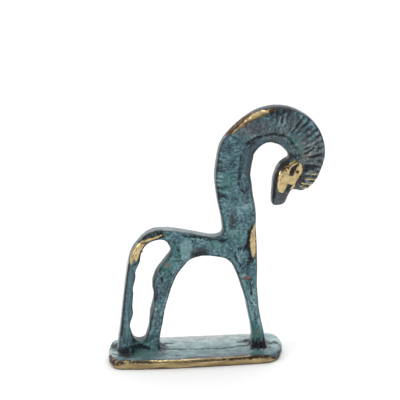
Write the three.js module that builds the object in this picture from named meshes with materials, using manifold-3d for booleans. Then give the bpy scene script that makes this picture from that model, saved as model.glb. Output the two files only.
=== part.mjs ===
// Bronze horse statuette on its plinth, one casting, in millimetres.
// The horse looks along +X, Z is up, and the origin is the middle of the plinth's underside.
// The casting is flat from side to side, so every limb is a swept section that stays in the plane Y = 0.
import * as THREE from "three";
import Module from "manifold-3d";
import { mergeVertices } from "three/addons/utils/BufferGeometryUtils.js";

const wasm = await Module();
wasm.setup();

// Plinth: a flat slab with rounded corners. Its near side bows out a little, most of it left of the middle.
const PLINTH_LONG = 81.0;
const PLINTH_WIDE = 31.0;
const PLINTH_THICK = 4.2;
const PLINTH_BOW = 1.6;
const PLINTH_BOW_X = -16.0;
const PLINTH_BACK_EDGE = 15.6;
const PLINTH_ROUND = 0.7;
const PLINTH_OUTLINE_STEPS = 7;
// The corners differ, as filing left them, and the left end runs in towards its far corner.
const NEAR_LEFT = 6.0;
const NEAR_RIGHT = 11.5;
const FAR_RIGHT = 4.5;
const FAR_LEFT = 4.0;
const LEFT_END_SLANT = 2.0;
// Shares of the corner size: how far a corner's pull point lies in from the end, and how far an end bulges.
const CORNER_PULL = 0.25;
const END_BULGE = 0.1;
// The near left part of the top edge is worn to a wider slope, which fades in along the edge.
const PLINTH_LEFT_SLOPE = 2.2;
const SLOPE_FROM_X = -5.0;
const SLOPE_FULL_X = -32.0;
const SLOPE_FROM_Y = -2.0;
const SLOPE_FULL_Y = -12.0;

// Squareness of a section: 2 is round, 4 is flat with rounded edges. A limb is rounder near the plinth.
const LIMB_SQUARENESS = 4.0;
const ROUND_SQUARENESS = 3.0;
const FOOT_Z = 2.4;
const FOOT_TOP_Z = 18.0;

// A station of a limb: [x, z, half width in the side view, half depth from side to side].
const TAIL_AND_TRUNK = [
  [-32.0, FOOT_Z, 4.9, 6.0],
  [-32.0, 6.5, 4.0, 5.0],
  [-32.3, 11.5, 3.3, 4.2],
  [-32.3, 17.5, 2.3, 4.0],
  [-31.7, 24.0, 2.2, 4.0],
  [-31.2, 30.0, 2.0, 4.0],
  [-30.3, 36.0, 2.2, 4.0],
  [-29.7, 42.5, 1.9, 4.0],
  [-28.1, 48.0, 2.5, 4.0],
  [-26.7, 52.4, 2.2, 4.0],
  [-24.4, 55.8, 1.9, 4.0],
  [-21.5, 58.2, 2.2, 4.1],
  [-18.0, 59.4, 2.4, 4.3],
  [-14.8, 59.5, 2.4, 4.4],
  [-11.5, 58.5, 3.5, 4.5],
  [-8.0, 56.2, 5.4, 4.6],
  [-4.0, 53.8, 6.9, 4.6],
  [0.0, 53.8, 5.8, 4.6],
  [4.0, 53.7, 4.9, 4.6],
  [8.0, 53.3, 4.8, 4.7],
  [12.0, 53.3, 5.8, 4.8],
  [15.4, 53.3, 7.4, 4.8],
  [19.4, 52.5, 8.4, 4.6],
];
const HIND_LEG = [
  [-20.6, FOOT_Z, 5.0, 6.2],
  [-20.4, 6.5, 3.8, 5.2],
  [-19.7, 11.0, 3.0, 4.4],
  [-18.4, 17.0, 2.9, 4.1],
  [-17.7, 22.0, 3.0, 4.1],
  [-16.5, 27.0, 2.9, 4.2],
  [-15.8, 32.0, 3.7, 4.3],
  [-15.2, 37.0, 4.7, 4.4],
  [-13.1, 41.5, 4.5, 4.5],
  [-9.9, 45.7, 4.5, 4.5],
  [-6.5, 50.6, 4.8, 4.5],
  [-5.8, 55.3, 4.8, 4.3],
];
const FORELEG_AND_NECK = [
  [28.9, FOOT_Z, 4.6, 7.4],
  [28.9, 5.6, 3.5, 6.6],
  [28.8, 9.7, 2.9, 5.0],
  [27.8, 15.5, 2.7, 4.3],
  [26.5, 22.0, 2.7, 4.3],
  [25.7, 27.5, 3.0, 4.4],
  [24.6, 33.0, 3.6, 4.5],
  [23.6, 39.5, 4.7, 4.7],
  [22.7, 44.0, 5.7, 4.9],
  [21.7, 48.5, 6.5, 5.0],
  [20.9, 54.5, 7.1, 5.1],
  [19.7, 61.0, 7.8, 5.1],
  [19.5, 67.0, 8.1, 5.1],
  [18.3, 73.5, 8.3, 5.1],
  [17.2, 80.5, 8.4, 5.1],
  [16.7, 87.0, 8.2, 5.1],
];
const HEAD = [
  [47.4, 93.5, 3.2, 4.6],
  [45.0, 90.4, 4.4, 5.4],
  [42.3, 87.0, 5.7, 5.8],
  [39.9, 82.6, 5.2, 5.7],
  [38.5, 78.2, 4.1, 5.1],
  [37.7, 74.8, 3.5, 4.4],
  [37.2, 72.6, 2.9, 3.6],
  [37.2, 71.4, 1.8, 2.2],
];

// The arch of the neck runs round a centre: [angle in degrees, outer radius, inner radius].
const ARCH_X = 33.4;
const ARCH_Z = 92.2;
const ARCH_DEPTH = 5.0;
const ARCH = [
  [165, 24.0, 7.4],
  [150, 23.3, 7.6],
  [135, 22.8, 7.6],
  [120, 22.9, 7.8],
  [105, 23.8, 7.9],
  [90, 24.7, 7.9],
  [75, 25.5, 7.8],
  [60, 26.0, 8.0],
  [45, 26.3, 8.0],
  [30, 26.2, 8.3],
  [15, 25.7, 8.5],
  [0, 24.7, 8.4],
  [-15, 23.7, 9.5],
  [-27, 23.0, 10.8],
  [-36, 21.4, 12.0],
  [-43, 18.6, 12.4],
  [-50, 17.0, 12.6],
];

// Mane: ribs run across both sides of the neck, and a groove parts them from the thinner throat.
// Ribs and groove start at a height up the neck and grow to their full depth further on.
const RIB_PITCH = 2.3;
const RIB_DEPTH = 0.5;
const RIB_START_Z = 64.0;
const RIB_FULL_Z = 70.0;
const GROOVE_DEPTH = 0.95;
const GROOVE_START_Z = 76.0;
const GROOVE_FULL_Z = 86.0;
const THROAT_STEP = 0.45;
const LAST_RIB_AT = 0.997;
const LEG_RINGS = 22;

// Points round one half of the neck's section, from the outer edge (0 degrees) to the inner edge (180).
// Each has the shares of the cuts that reach it: [angle, short rib, long rib, groove, throat].
const NECK_SECTION = [
  [0, 0, 0, 0, 0],
  [16, 0, 0, 0, 0],
  [34, 0.6, 0, 0, 0],
  [58, 1, 0, 0, 0],
  [82, 0, 1, 0, 0],
  [95, 0, 1, 0, 0],
  [100, 0, 0, 1, 0],
  [106, 0, 0, 0, 1],
  [122, 0, 0, 0, 1],
  [146, 0, 0, 0, 1],
  [180, 0, 0, 0, 0],
];
const PLAIN_SECTION = [0, 20, 42, 66, 90, 114, 138, 160, 180].map((angle) => [angle]);

// Web of metal left between the tail and the hind foot. Its top edge is a hollow curve.
const WEB_LEFT = -32.0;
const WEB_RIGHT = -19.5;
const WEB_FOOT_Z = 3.0;
const WEB_LOW_Z = 9.4;
const WEB_HIGH_Z = 15.5;
const WEB_LIP = 1.5;
const WEB_THICK = 7.0;
const WEB_PULL = 2.4;
const WEB_CURVE_STEPS = 7;

// A hollow cut by a stretched ball: [x, y, z, half length, half depth, half height, angle in degrees].
// The first lies under the web on the near side only, where the cast metal didn't close on the plinth.
const WEB_HOLLOW = [-26.0, -4.6, 5.8, 4.4, 2.2, 1.2, 0];
// Marks on both cheeks: an eye pit, a hollow that runs down from the brow, and a notch at the nostril.
const CHEEK_MARKS = [
  [45.5, 6.3, 87.7, 0.65, 1.4, 0.6, 0],
  [43.6, 6.4, 88.5, 2.9, 1.6, 1.0, 50],
  [41.2, 6.5, 80.4, 1.5, 1.8, 0.9, 35],
];
const BALL_SIDES = 14;
const BALL_RINGS = 8;

// Points nearer to each other than this are one point.
const SAME_POINT = 1e-4;

const BRONZE = { color: 0x4c7a7a, roughness: 0.45, metalness: 0.85 };

function signedPower(value, power) {
  return Math.sign(value) * Math.pow(Math.abs(value), power);
}

// Vector in the plane Y = 0 that points left of a way along a limb.
function leftOf(way) {
  return new THREE.Vector3(-way.z, 0, way.x);
}

function limbSquareness([, z]) {
  const up = THREE.MathUtils.clamp((z - FOOT_Z) / (FOOT_TOP_Z - FOOT_Z), 0, 1);
  return THREE.MathUtils.lerp(ROUND_SQUARENESS, LIMB_SQUARENESS, up);
}

// Curve through the places of the stations, and one through their sizes, with the same running number.
function limbCurves(stations, squarenessAt) {
  const places = stations.map(([x, z]) => new THREE.Vector3(x, 0, z));
  const sizes = stations.map((station) => {
    const [, , width, depth] = station;
    return new THREE.Vector3(width, depth, squarenessAt(station));
  });
  return {
    place: new THREE.CatmullRomCurve3(places, false, "catmullrom", 0.5),
    size: new THREE.CatmullRomCurve3(sizes, false, "catmullrom", 0.5),
  };
}

// One ring of a limb. The outer edge of the section points left of the way that the limb runs.
function ringAt(curves, t, section, cutOf) {
  const centre = curves.place.getPoint(t);
  const size = curves.size.getPoint(t);
  const outward = leftOf(curves.place.getTangent(t));
  const power = 2 / size.z;
  const half = section.map((row) => {
    const turn = THREE.MathUtils.degToRad(row[0]);
    const across = size.x * signedPower(Math.cos(turn), power);
    const depth = size.y * signedPower(Math.sin(turn), power) - cutOf(row);
    return [across, Math.max(depth, 0)];
  });
  const pointAt = (across, y) => centre.clone().addScaledVector(outward, across).setY(y);
  const near = half.map(([across, depth]) => pointAt(across, -depth));
  const far = half.slice(1, -1).reverse().map(([across, depth]) => pointAt(across, depth));
  return near.concat(far);
}

// Closed body through a row of rings, capped at both ends.
function bodyFromRings(rings) {
  const count = rings[0].length;
  const points = rings.flat();
  const index = [];
  for (let ring = 0; ring < rings.length - 1; ring += 1) {
    for (let side = 0; side < count; side += 1) {
      const a = ring * count + side;
      const b = ring * count + (side + 1) % count;
      const c = a + count;
      const d = b + count;
      index.push(a, b, c, b, d, c);
    }
  }
  const middleOf = (ring) => ring.reduce((sum, p) => sum.add(p), new THREE.Vector3()).divideScalar(count);
  const first = points.push(middleOf(rings[0])) - 1;
  const last = points.push(middleOf(rings[rings.length - 1])) - 1;
  const start = (rings.length - 1) * count;
  for (let side = 0; side < count; side += 1) {
    const next = (side + 1) % count;
    index.push(first, next, side);
    index.push(last, start + side, start + next);
  }
  const geometry = new THREE.BufferGeometry().setFromPoints(points);
  geometry.setIndex(index);
  return geometry;
}

function solid(geometry) {
  geometry.deleteAttribute("normal");
  geometry.deleteAttribute("uv");
  const merged = mergeVertices(geometry, SAME_POINT);
  return new wasm.Manifold(new wasm.Mesh({
    numProp: 3,
    vertProperties: Float32Array.from(merged.attributes.position.array),
    triVerts: Uint32Array.from(merged.index.array),
  }));
}

// Plain limb with the same number of rings between each two stations.
function limb(stations, ringsPerStation, squarenessAt) {
  const curves = limbCurves(stations, squarenessAt);
  const steps = (stations.length - 1) * ringsPerStation;
  const rings = [];
  for (let step = 0; step <= steps; step += 1) {
    rings.push(ringAt(curves, step / steps, PLAIN_SECTION, () => 0));
  }
  return solid(bodyFromRings(rings));
}

function archStations() {
  return ARCH.map(([angle, outer, inner]) => {
    const turn = THREE.MathUtils.degToRad(angle);
    const middle = (outer + inner) / 2;
    const x = ARCH_X + middle * Math.cos(turn);
    const z = ARCH_Z + middle * Math.sin(turn);
    return [x, z, (outer - inner) / 2, ARCH_DEPTH];
  });
}

// How deep the mane's ribs, the groove beside them and the thinner throat cut into the side of the neck.
function maneCut(inRib, centre) {
  const upNeck = centre.x < ARCH_X && centre.z < ARCH_Z ? centre.z : ARCH_Z;
  const shortShare = inRib ? THREE.MathUtils.smoothstep(upNeck, RIB_START_Z, RIB_FULL_Z) : 0;
  const longShare = inRib ? THREE.MathUtils.smoothstep(upNeck, GROOVE_START_Z, ARCH_Z) : 0;
  const grooveShare = THREE.MathUtils.smoothstep(upNeck, GROOVE_START_Z, GROOVE_FULL_Z);
  return ([, shortRib, longRib, groove, throat]) => {
    const rib = RIB_DEPTH * (shortRib * shortShare + longRib * longShare);
    return rib + (GROOVE_DEPTH * groove + THROAT_STEP * throat) * grooveShare;
  };
}

// Step of the running number that moves the outer edge on by half a rib.
function ribStep(curves, t) {
  const small = 1e-3;
  const halfWidth = curves.size.getPoint(t).x;
  const outerEdge = (s) => {
    return curves.place.getPoint(s).addScaledVector(leftOf(curves.place.getTangent(s)), halfWidth);
  };
  const before = outerEdge(t - small);
  const after = outerEdge(Math.min(t + small, 1));
  const speed = before.distanceTo(after) / (2 * small);
  return RIB_PITCH / 2 / speed;
}

// Foreleg, chest, neck and mane in one sweep: wide steps up the leg, one step per half rib along the mane.
function forelegNeckAndMane() {
  const stations = FORELEG_AND_NECK.concat(archStations());
  const curves = limbCurves(stations, limbSquareness);
  const firstRib = FORELEG_AND_NECK.findIndex(([, z]) => z > RIB_START_Z) / (stations.length - 1);
  const rings = [];
  for (let step = 0; step < LEG_RINGS; step += 1) {
    rings.push(ringAt(curves, (firstRib * step) / LEG_RINGS, NECK_SECTION, () => 0));
  }
  let inRib = false;
  let t = firstRib;
  while (t < LAST_RIB_AT) {
    rings.push(ringAt(curves, t, NECK_SECTION, maneCut(inRib, curves.place.getPoint(t))));
    inRib = !inRib;
    t += ribStep(curves, t);
  }
  rings.push(ringAt(curves, 1, NECK_SECTION, () => 0));
  return solid(bodyFromRings(rings));
}

function plinthOutline() {
  const left = -PLINTH_LONG / 2;
  const right = PLINTH_LONG / 2;
  const far = PLINTH_BACK_EDGE;
  const near = far - PLINTH_WIDE + PLINTH_BOW;
  const farLeft = left + LEFT_END_SLANT;
  const middle = (near + far) / 2;
  const pull = (corner) => CORNER_PULL * corner;
  const bulge = (corner) => END_BULGE * corner;
  const shape = new THREE.Shape();
  shape.moveTo(left + NEAR_LEFT, near);
  shape.quadraticCurveTo(PLINTH_BOW_X, near - 2 * PLINTH_BOW, right - NEAR_RIGHT, near);
  shape.quadraticCurveTo(right - pull(NEAR_RIGHT), near, right - bulge(NEAR_RIGHT), near + NEAR_RIGHT);
  shape.quadraticCurveTo(right + bulge(NEAR_RIGHT), middle, right - bulge(FAR_RIGHT), far - FAR_RIGHT);
  shape.quadraticCurveTo(right - pull(FAR_RIGHT), far, right - FAR_RIGHT, far);
  shape.lineTo(farLeft + FAR_LEFT, far);
  shape.quadraticCurveTo(farLeft + pull(FAR_LEFT), far, farLeft + bulge(FAR_LEFT), far - FAR_LEFT);
  shape.quadraticCurveTo(left - bulge(NEAR_LEFT), middle, left + bulge(NEAR_LEFT), near + NEAR_LEFT);
  shape.quadraticCurveTo(left + pull(NEAR_LEFT), near, left + NEAR_LEFT, near);
  return shape.getPoints(PLINTH_OUTLINE_STEPS).slice(0, -1);
}

function leftSlope(point) {
  const along = THREE.MathUtils.smoothstep(-point.x, -SLOPE_FROM_X, -SLOPE_FULL_X);
  const side = THREE.MathUtils.smoothstep(-point.y, -SLOPE_FROM_Y, -SLOPE_FULL_Y);
  return PLINTH_LEFT_SLOPE * along * side;
}

// The slab is a stack of outlines: [height, how far it is drawn in, share of the worn slope].
function plinth() {
  const outline = plinthOutline();
  const middle = new THREE.Vector2(0, PLINTH_BACK_EDGE - PLINTH_WIDE / 2);
  const levels = [
    [0, PLINTH_ROUND, 0],
    [PLINTH_ROUND, 0, 0],
    [PLINTH_THICK - 1.6 * PLINTH_ROUND, 0, 0],
    [PLINTH_THICK - 0.4 * PLINTH_ROUND, 0.4 * PLINTH_ROUND, 0.5],
    [PLINTH_THICK, 1.2 * PLINTH_ROUND, 1],
  ];
  const rings = levels.map(([z, inset, slopeShare]) => outline.map((point) => {
    const reach = point.clone().sub(middle);
    const shrink = 1 - (inset + slopeShare * leftSlope(point)) / reach.length();
    return new THREE.Vector3(middle.x + reach.x * shrink, middle.y + reach.y * shrink, z);
  }));
  return solid(bodyFromRings(rings));
}

function web() {
  const middle = (WEB_LEFT + WEB_RIGHT) / 2;
  const shape = new THREE.Shape();
  shape.moveTo(WEB_LEFT, WEB_FOOT_Z);
  shape.lineTo(WEB_RIGHT, WEB_FOOT_Z);
  shape.lineTo(WEB_RIGHT, WEB_HIGH_Z);
  shape.lineTo(WEB_RIGHT - WEB_LIP, WEB_HIGH_Z);
  shape.quadraticCurveTo(WEB_RIGHT - WEB_PULL, WEB_LOW_Z, middle, WEB_LOW_Z);
  shape.quadraticCurveTo(WEB_LEFT + WEB_PULL, WEB_LOW_Z, WEB_LEFT + WEB_LIP, WEB_HIGH_Z);
  shape.lineTo(WEB_LEFT, WEB_HIGH_Z);
  const options = { depth: WEB_THICK, bevelEnabled: false, curveSegments: WEB_CURVE_STEPS };
  const geometry = new THREE.ExtrudeGeometry(shape, options);
  geometry.rotateX(Math.PI / 2);
  geometry.translate(0, WEB_THICK / 2, 0);
  return solid(geometry);
}

// Stretched ball that cuts one hollow. The side is 1 where y is taken as it stands, or -1 to mirror it.
function hollow([x, y, z, long, deep, high, angle], side) {
  const ball = new THREE.SphereGeometry(1, BALL_SIDES, BALL_RINGS);
  ball.scale(long, deep, high);
  ball.rotateY(-THREE.MathUtils.degToRad(angle));
  ball.translate(x, side * y, z);
  return solid(ball);
}

function horseOnPlinth() {
  let body = forelegNeckAndMane();
  body = body.add(limb(TAIL_AND_TRUNK, 2, limbSquareness));
  body = body.add(limb(HIND_LEG, 2, limbSquareness));
  body = body.add(web());
  body = body.add(limb(HEAD, 3, () => ROUND_SQUARENESS));
  body = body.add(plinth());
  body = body.subtract(hollow(WEB_HOLLOW, 1));
  for (const mark of CHEEK_MARKS) {
    body = body.subtract(hollow(mark, 1)).subtract(hollow(mark, -1));
  }
  return body;
}

function meshFrom(body, name, look) {
  const data = body.getMesh();
  const geometry = new THREE.BufferGeometry();
  geometry.setAttribute("position", new THREE.BufferAttribute(data.vertProperties, 3));
  geometry.setIndex(new THREE.BufferAttribute(data.triVerts, 1));
  geometry.computeVertexNormals();
  const mesh = new THREE.Mesh(geometry, new THREE.MeshStandardMaterial(look));
  mesh.name = name;
  return mesh;
}

const group = new THREE.Group();
group.name = "horse_statuette";
group.add(meshFrom(horseOnPlinth(), "horse_on_plinth", BRONZE));
export default group;
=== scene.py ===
"""Bronze horse statuette on its plinth: the fine cast surface, its patina and its polished edges."""
import math

import bpy
import numpy as np
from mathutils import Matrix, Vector, noise


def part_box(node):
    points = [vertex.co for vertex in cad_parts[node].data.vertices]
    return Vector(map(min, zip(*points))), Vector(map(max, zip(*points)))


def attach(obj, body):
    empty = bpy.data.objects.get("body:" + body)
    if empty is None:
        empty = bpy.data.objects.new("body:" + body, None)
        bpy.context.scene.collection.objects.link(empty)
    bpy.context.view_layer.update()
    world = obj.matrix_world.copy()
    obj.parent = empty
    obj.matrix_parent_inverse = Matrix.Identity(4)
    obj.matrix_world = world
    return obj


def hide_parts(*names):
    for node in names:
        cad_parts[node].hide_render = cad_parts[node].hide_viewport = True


bl_info = {
    "name": "Bronze horse statuette",
    "version": (1, 0, 0),
    "blender": (4, 5, 0),
    "location": "3D View > Sidebar > Statuette",
    "description": "Cast surface, patina and studio for a small bronze horse on a plinth",
    "category": "Object",
}

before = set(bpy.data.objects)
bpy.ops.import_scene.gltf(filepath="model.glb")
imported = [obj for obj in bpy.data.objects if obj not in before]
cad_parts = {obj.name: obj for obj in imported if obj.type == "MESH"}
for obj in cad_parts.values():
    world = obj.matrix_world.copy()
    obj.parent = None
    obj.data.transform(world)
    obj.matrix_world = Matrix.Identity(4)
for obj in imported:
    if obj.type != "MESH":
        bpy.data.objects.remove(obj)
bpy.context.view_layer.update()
CASTING_NODE = "horse_on_plinth"
MM = 0.001
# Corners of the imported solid's loose triangles that lie this close are one.
MERGE_GAP = 0.002 * MM

# Places on the casting, in millimetres of its own frame: X the way the horse faces, Y away from the viewer.
# First the plinth's half length and half width, in whole millimetres, and the height of its top.
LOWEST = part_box(CASTING_NODE)[0]
PLINTH_END = round(-LOWEST.x / MM)
PLINTH_SIDE = round(-LOWEST.y / MM)
PLINTH_TOP = 4.2
# Half length and half width of the plinth's middle: the part that holds the feet, and the part within which
# no face belongs to the plinth's side.
FEET_AREA = (PLINTH_END - 2, PLINTH_SIDE - 4)
PLINTH_MIDDLE = (PLINTH_END - 4, PLINTH_SIDE - 5)
# Height over the ground where the bare metal of the plinth's side begins.
FOOT_LINE = 0.1
# Centre of the arch that the neck and the mane make.
ARCH_X = 33.4
ARCH_Z = 92.2
# Middle and right edge of the slot beside the tail, and the bounds of that slot and of the belly's arch.
SLOT_MIDDLE = -24.5
SLOT_RIGHT = -15
OPENINGS_LEFT = -31
OPENINGS_RIGHT = 25.5
OPENINGS_TOP = 57
# Top of the legs, foot and right end of the bare crest, ends of the tail's smooth stretch, and the X that
# its back edge lies beyond.
LEGS_TOP = 47
CREST_FOOT = 98
CREST_RIGHT = 37
TAIL_FOOT = 9
TAIL_TOP = 51
TAIL_BACK = -29
# The muzzle: its left and right edge and its top.
MUZZLE_LEFT = 33
MUZZLE_RIGHT = 45
MUZZLE_TOP = 81
# Darker line along the plinth's near upper edge: its Y and its half width.
EDGE_LINE_Y = -13.2
EDGE_LINE_WIDTH = 0.8

# The groove beside the throat where it runs round the arch, as (x, z) in the side view.
THROAT_GROOVE = [
    (19.8, 94.6), (21.6, 98.6), (23.8, 101.8), (26.5, 103.5), (30, 104.6), (35, 104.9), (38.2, 104.6),
    (40.9, 103.3), (42.7, 101.2),
]
# Outline of the ribbed mane in the side view. Its inner edge follows that groove.
MANE_OUTLINE = [
    (6, 63), (12, 63), (14, 72), (16.5, 79), (18.5, 84), (19.4, 90), *THROAT_GROOVE, (44.5, 98), (47, 94),
    (48.2, 90), (46.8, 85), (45, 81), (44, 76), (62, 76), (66, 100), (50, 124), (18, 124), (2, 100),
]
# Smooth band along the throat, inside the groove.
THROAT_OUTLINE = [
    (23.5, 84), (20.4, 88), (20.4, 94), (22.2, 98.2), (24.6, 101.2), (27, 102.8), (31, 103.9), (35, 104.1),
    (38.2, 103.6), (40.6, 102.4), (42.2, 100.2), (43.4, 97.4), (44.6, 94.6), (38, 92), (30, 97), (27, 84),
]

# The ribs cross the mane. A place along it is a distance at the ribs' middle radius, which is 0 on the
# neck at the level of the arch's centre and grows over the top to the mane's tip. Below that level, and
# past the first rib of the tip, the ribs run side by side.
RIB_PITCH = 2.3
RIB_RADIUS = 19.0
RIB_DEPTH = 0.48
RIB_WIDTH = 0.6
# Each rib's own noise lies this far from the next one's, and changes over this length along the rib.
RIB_NOISE_STEP = 7.37
RIB_NOISE_LENGTH = 7
# Angle of the tip's first rib, as seen from the arch's centre.
TIP_TURN = math.radians(-8)
# Place along the mane, strength of the ribs there, distance of their inner ends from the arch's centre.
RIB_REACH = [
    (-27, 0, 20), (-22, 0.8, 20.5), (-2, 0.8, 20.5), (4, 0.25, 19.5), (11, 0.08, 18), (26, 0.08, 17),
    (32, 0.8, 16), (46, 0.9, 15), (62, 1, 14.5), (80, 1, 12.5),
]

# Polished bare metal, as outlines in the side view. All but the crest's is on both sides of the horse.
CHEEK_PATCH = [
    (45, 92.7), (46.9, 91.4), (47.8, 89.3), (47.7, 87), (46.2, 85), (45.1, 83.1), (44.3, 81.5),
    (41.5, 81.5), (40.2, 80), (38.9, 77.7), (37.2, 78.2), (36.3, 80), (36.4, 84.4), (37.2, 87.4),
    (38.6, 89.2), (42.5, 92.1), (44.2, 93),
]
# The hollow that runs down from the brow, and the eye's pit. Both stay dark within the bare cheek.
BROW_HOLLOW = [
    (46.1, 91.6), (44.2, 90.6), (42.6, 89.6), (41.8, 87.8), (41.6, 86.6), (42.9, 85.9), (43.7, 86.9),
    (44.4, 88.1), (44.8, 89.3), (45.8, 90.6),
]
BROW_DEPTH = 0.3
EYE_X = 45.5
EYE_Z = 87.7
EYE_RADIUS = 0.55
EYE_DEPTH = 0.5
# The lip, with bare metal of its own.
LIP_SLIVER = [(43.4, 82.2), (44.6, 81), (43.2, 79.1), (42.1, 79.4)]
RUMP_PATCH = [
    (-13.9, 60.7), (-16.2, 60), (-20.2, 58.8), (-22.9, 58.1), (-25.2, 57), (-27.2, 56), (-28.6, 54.9),
    (-29.5, 52.5), (-30, 49.7), (-30.3, 46.6), (-29.6, 46.4), (-28.2, 48.2), (-27.3, 47.8), (-26.2, 50),
    (-25.2, 52.8), (-23.6, 55.2), (-22, 56.8), (-19.8, 57.8), (-17.5, 58.6), (-15.7, 59.8),
]
CHEST_PATCH = [
    (26.3, 63.9), (25.2, 61.4), (24.4, 59.1), (24.1, 55.8), (24.5, 52), (25, 49.2), (25.7, 47.3),
    (26.5, 47.6), (26.9, 49.6), (27, 53.8), (26.9, 58.5), (26.6, 62.3),
]
CREST_PATCH = [
    (12.6, 104), (14.6, 104.7), (17.4, 106.3), (20.9, 108.3), (22.8, 109.8), (24.4, 110.8), (26.9, 112.2),
    (29.5, 113), (31.7, 114), (36, 115), (36.6, 116.2), (31.4, 117.4), (27.6, 118.2), (24, 120.4),
    (20, 124), (4, 112),
]
# How far the crest's bare metal reaches over the rim: places along X and the Y where it ends.
CREST_FAR_LIMIT = [(13, 2.5), (20, 2.6), (23, 0.5), (27, -2.4), (32, -3.3), (37, -3.6)]
# Bright streaks on the ribs at the mane's tip.
TIP_STREAKS = [
    [(52, 86), (54.8, 86)],
    [(49.6, 84.1), (53.8, 83.3)],
    [(47.6, 82.2), (49.8, 81.7), (52.4, 81)],
    [(46.7, 80.7), (48.9, 80.2)],
    [(49, 79.3), (50.6, 79.4), (52, 80.3)],
]
TIP_STREAK_WIDTH = 0.38
TIP_STREAK_HEIGHT = 0.35

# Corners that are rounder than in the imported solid: (x, z, radius), on both sides.
ROUNDED_CORNERS = [
    (-11.9, 53.8, 3.5), (9.4, 60.8, 3.5), (14, 43, 4.5), (-5.4, 44, 4.5), (-1, 48.4, 3.5),
    (24, 76.5, 3),
]
# Left edge of the head, whose corner is worn quite round.
BROW_EDGE = [
    (41, 94.4), (39.4, 93.6), (37.2, 91.8), (35.4, 89.4), (34.6, 86.8), (34.4, 83), (34.4, 79),
    (34.8, 76),
]
# Height over which the feet run out into the plinth's top.
FOOT_ROUNDING = 2.4
# How much the surface looks to the side on the corners between the sides and the rims.
CORNER_TURN = 0.55
# Rounds of smoothing: for each part that is rounded off, for the large form, and for what a height is
# measured over.
SOFTENING_ROUNDS = {"ribs": 20, "corners": 120, "feet": 40, "worn": 30, "rims": 8, "brow": 20}
BASE_ROUNDS = 6
HEIGHT_ROUNDS = 10
# Usual heights of the finer relief, which its noises pass here and there: worked and tarnished bare metal,
# the plinth's rough top, the file marks on its side, and the knobs along the slot's edges.
WORKED_HEIGHT = 0.05
TARNISH_HEIGHT = 0.04
GROUND_HEIGHT = 0.1
FILED_HEIGHT = 0.02
KNOB_HEIGHT = 0.28

# Grooves on both sides of the casting, fainter on the far one: (path of (x, z), half width, depth).
SIDE_GROOVES = [
    ([(22.6, 77), (20.3, 79.8), (18.6, 83.1), (19.4, 89.1), *THROAT_GROOVE, (44.1, 98.5)], 0.6, 0.3),
    ([(-6.5, 59.4), (-2.2, 58.6), (1.4, 58.1), (5, 57.8), (8.7, 58), (11, 59.2)], 0.5, 0.4),
    ([(3.8, 57.1), (8.7, 56.8), (12.4, 56.3), (15, 57.4)], 0.5, 0.35),
    ([(-1.9, 57), (-1.6, 52.5), (-2.2, 49.5)], 0.5, 0.25),
    ([(-10.2, 57.2), (-9, 53.7), (-7.3, 50.8), (-7.6, 47.6)], 0.7, 0.3),
    ([(17.2, 50.6), (17.7, 48.4), (18.6, 46.4), (20, 44.4)], 0.5, 0.35),
    ([(19.2, 52.4), (21.4, 52), (22.9, 53.2), (23.6, 55.6), (23.7, 60)], 0.8, 0.35),
    ([(23.2, 43.6), (24, 47.4)], 0.8, 0.3),
    ([(24, 37.6), (24.8, 34.6), (25.3, 30.2)], 0.4, 0.3),
    ([(23.1, 30.4), (23.6, 27.8), (25.4, 26)], 0.3, 0.2),
    ([(26.7, 21.8), (26.9, 18.4), (27.6, 15.8)], 0.35, 0.25),
    ([(-18.2, 37), (-18, 33), (-18.6, 29)], 0.4, 0.25),
    ([(9.4, 88.9), (13.4, 88.7)], 0.8, 0.35),
    ([(9.8, 80.2), (13.8, 81.4)], 0.8, 0.35),
    ([(10.4, 77.4), (12.6, 76.8)], 0.9, 0.35),
    ([(15.9, 67.6), (16.4, 65), (15.8, 62.6)], 0.9, 0.25),
    ([(22.7, 80.5), (23, 75.8)], 0.8, 0.25),
    ([(-15.6, 38.4), (-16.9, 43.2), (-13.4, 43.6)], 0.7, 0.3),
    ([(49, 95.5), (52.5, 98)], 0.6, 0.4),
]
# Smooth light bands down the foreleg: (path of (x, z), half width).
FORELEG_BANDS = [
    ([(21, 36.5), (22.4, 30.1), (23.9, 25.3), (24.7, 20.4), (25.4, 14)], 0.7),
    ([(26.8, 38), (27.5, 31.9), (28.6, 24), (29.4, 17)], 0.5),
]
# Raised lines left between tool marks: (path of (x, z), half width, height).
SIDE_RIDGES = [
    ([(18.3, 50.2), (18.8, 47.6), (20.9, 45)], 0.5, 0.25),
    ([(-16.4, 40.6), (-13.9, 43.1)], 0.4, 0.25),
    ([(-23.4, 57.4), (-25.2, 55.7), (-26.6, 53.4), (-27.5, 51.5), (-28.4, 49.2)], 0.5, 0.25),
    ([(-14.2, 43), (-15.8, 41)], 0.3, 0.25),
    ([(37.9, 88.6), (37.4, 84.5), (37.2, 80)], 0.8, 0.2),
    ([(44.2, 92.2), (43, 91.4), (41.6, 89.8), (40.9, 87.6)], 0.5, 0.14),
    ([(28.3, 101.9), (30.2, 103.2), (33.4, 103.9), (36, 103.7), (38.6, 102), (40.9, 99), (41.9, 95.7)],
     0.5, 0.25),
    ([(4.2, 57.7), (9, 57.5)], 0.3, 0.2),
]
# Smooth raised patch over the haunch: (x, z, half length, half height), and how high it stands.
HAUNCH_PATCH = (-4.6, 52.4, 2.9, 5)
HAUNCH_HEIGHT = 0.3
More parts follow.
